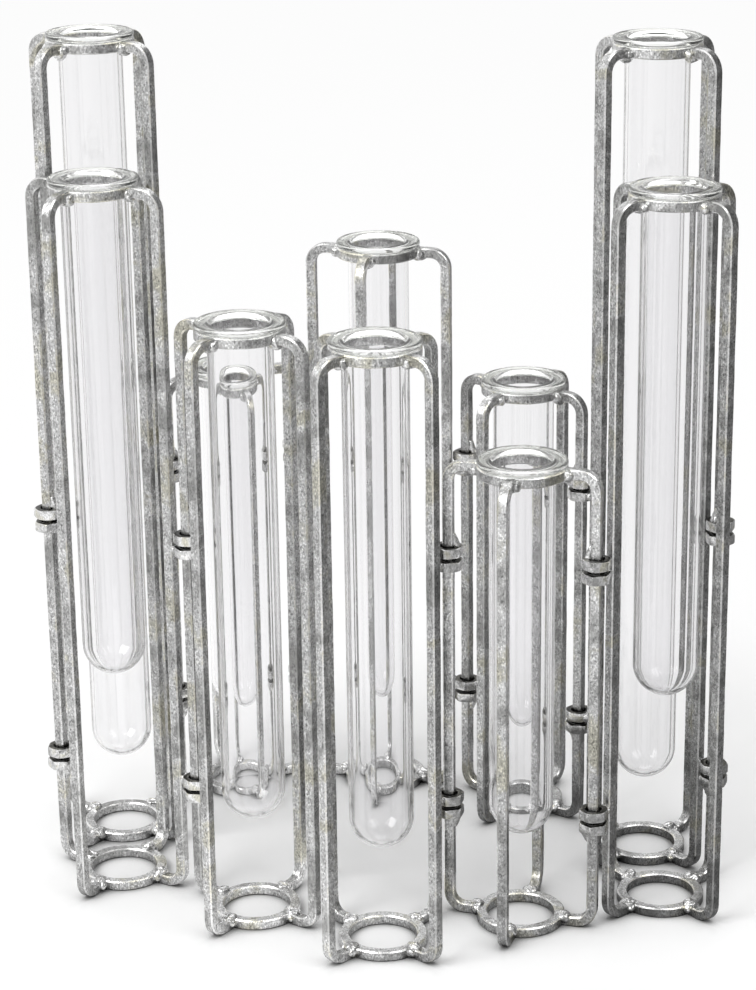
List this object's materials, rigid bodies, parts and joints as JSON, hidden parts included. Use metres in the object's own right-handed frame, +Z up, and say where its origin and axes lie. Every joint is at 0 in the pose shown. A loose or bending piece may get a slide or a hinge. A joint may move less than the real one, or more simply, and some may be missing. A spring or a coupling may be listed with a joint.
{
  "type": "hinged test tube vase",
  "caption": "Chain of square-bar wire cages hinged by nuts on their uprights, each holding a lipped glass test tube as a bud vase; the chain curls or opens out.",
  "frame": {"origin": "middle of the footprint's bounding box, on the floor under the rings", "axes": "+Z up along every tube; +X to the right along the curled oval's longer side; +Y away from the viewer"},
  "size_m": [0.238, 0.1774, 0.293],
  "materials": {
    "bar": "antiqued zinc on mild steel bar, mottled",
    "nuts": "zinc-plated steel with bright welds",
    "glass": "clear drawn glass, fire-polished lip"
  },
  "bodies": {
    "cage_01": {"cage_01_uprights": "bar", "cage_01_rings": "bar", "hinge_01_stop_nuts": "nuts"},
    "cage_02": {"cage_02_uprights": "bar", "cage_02_rings": "bar", "hinge_01_loop_nuts": "nuts", "hinge_02_stop_nuts": "nuts"},
    "cage_03": {"cage_03_uprights": "bar", "cage_03_rings": "bar", "hinge_02_loop_nuts": "nuts", "hinge_03_loop_nuts": "nuts"},
    "cage_04": {"cage_04_uprights": "bar", "cage_04_rings": "bar", "hinge_03_stop_nuts": "nuts", "hinge_04_stop_nuts": "nuts"},
    "cage_05": {"cage_05_uprights": "bar", "cage_05_rings": "bar", "hinge_04_loop_nuts": "nuts", "hinge_05_loop_nuts": "nuts"},
    "cage_06": {"cage_06_uprights": "bar", "cage_06_rings": "bar", "hinge_05_stop_nuts": "nuts", "hinge_06_stop_nuts": "nuts"},
    "cage_07": {"cage_07_uprights": "bar", "cage_07_rings": "bar", "hinge_06_loop_nuts": "nuts", "hinge_07_loop_nuts": "nuts"},
    "cage_08": {"cage_08_uprights": "bar", "cage_08_rings": "bar", "hinge_07_stop_nuts": "nuts", "hinge_08_loop_nuts": "nuts"},
    "cage_09": {"cage_09_uprights": "bar", "cage_09_rings": "bar", "hinge_08_stop_nuts": "nuts", "hinge_09_stop_nuts": "nuts"},
    "cage_10": {"cage_10_uprights": "bar", "cage_10_rings": "bar", "hinge_09_loop_nuts": "nuts"},
    "tube_01": {"tube_01": "glass"},
    "tube_02": {"tube_02": "glass"},
    "tube_03": {"tube_03": "glass"},
    "tube_04": {"tube_04": "glass"},
    "tube_05": {"tube_05": "glass"},
    "tube_06": {"tube_06": "glass"},
    "tube_07": {"tube_07": "glass"},
    "tube_08": {"tube_08": "glass"},
    "tube_09": {"tube_09": "glass"},
    "tube_10": {"tube_10": "glass"}
  },
  "joints": [
    {"name": "hinge_01", "type": "hinge", "parent": "cage_02", "child": "cage_01", "pos_m": [-0.06451, -0.03019, 0.0845], "axis": [0, 0, -1], "range_deg": [0, 86]},
    {"name": "hinge_02", "type": "hinge", "parent": "cage_03", "child": "cage_02", "pos_m": [-0.114, -0.00162, 0.0845], "axis": [0, 0, 1], "range_deg": [-188, 0]},
    {"name": "hinge_03", "type": "hinge", "parent": "cage_04", "child": "cage_03", "pos_m": [-0.0761, 0.05055, 0.0845], "axis": [0, 0, -1], "range_deg": [0, 122]},
    {"name": "hinge_04", "type": "hinge", "parent": "cage_05", "child": "cage_04", "pos_m": [-0.0306, 0.07081, 0.0845], "axis": [0, 0, 1], "range_deg": [-131, 0]},
    {"name": "hinge_05", "type": "hinge", "parent": "cage_05", "child": "cage_06", "pos_m": [0.03169, 0.05412, 0.0845], "axis": [0, 0, 1], "range_deg": [0, 115]},
    {"name": "hinge_06", "type": "hinge", "parent": "cage_06", "child": "cage_07", "pos_m": [0.07093, 0.02346, 0.0845], "axis": [0, 0, -1], "range_deg": [-102, 0]},
    {"name": "hinge_07", "type": "hinge", "parent": "cage_07", "child": "cage_08", "pos_m": [0.11409, -0.02447, 0.0845], "axis": [0, 0, 1], "range_deg": [0, 185]},
    {"name": "hinge_08", "type": "hinge", "parent": "cage_08", "child": "cage_09", "pos_m": [0.06968, -0.06043, 0.0845], "axis": [0, 0, -1], "range_deg": [-148, 0]},
    {"name": "hinge_09", "type": "hinge", "parent": "cage_09", "child": "cage_10", "pos_m": [0.02205, -0.04587, 0.0845], "axis": [0, 0, 1], "range_deg": [0, 31]},
    {"name": "tube_01_lift", "type": "slide", "parent": "cage_01", "child": "tube_01", "axis": [0, 0, 1], "range_m": [0, 0.177]},
    {"name": "tube_02_lift", "type": "slide", "parent": "cage_02", "child": "tube_02", "axis": [0, 0, 1], "range_m": [0, 0.177]},
    {"name": "tube_03_lift", "type": "slide", "parent": "cage_03", "child": "tube_03", "axis": [0, 0, 1], "range_m": [0, 0.266]},
    {"name": "tube_04_lift", "type": "slide", "parent": "cage_04", "child": "tube_04", "axis": [0, 0, 1], "range_m": [0, 0.135]},
    {"name": "tube_05_lift", "type": "slide", "parent": "cage_05", "child": "tube_05", "axis": [0, 0, 1], "range_m": [0, 0.177]},
    {"name": "tube_06_lift", "type": "slide", "parent": "cage_06", "child": "tube_06", "axis": [0, 0, 1], "range_m": [0, 0.135]},
    {"name": "tube_07_lift", "type": "slide", "parent": "cage_07", "child": "tube_07", "axis": [0, 0, 1], "range_m": [0, 0.266]},
    {"name": "tube_08_lift", "type": "slide", "parent": "cage_08", "child": "tube_08", "axis": [0, 0, 1], "range_m": [0, 0.177]},
    {"name": "tube_09_lift", "type": "slide", "parent": "cage_09", "child": "tube_09", "axis": [0, 0, 1], "range_m": [0, 0.135]},
    {"name": "tube_10_lift", "type": "slide", "parent": "cage_10", "child": "tube_10", "axis": [0, 0, 1], "range_m": [0, 0.177]}
  ]
}
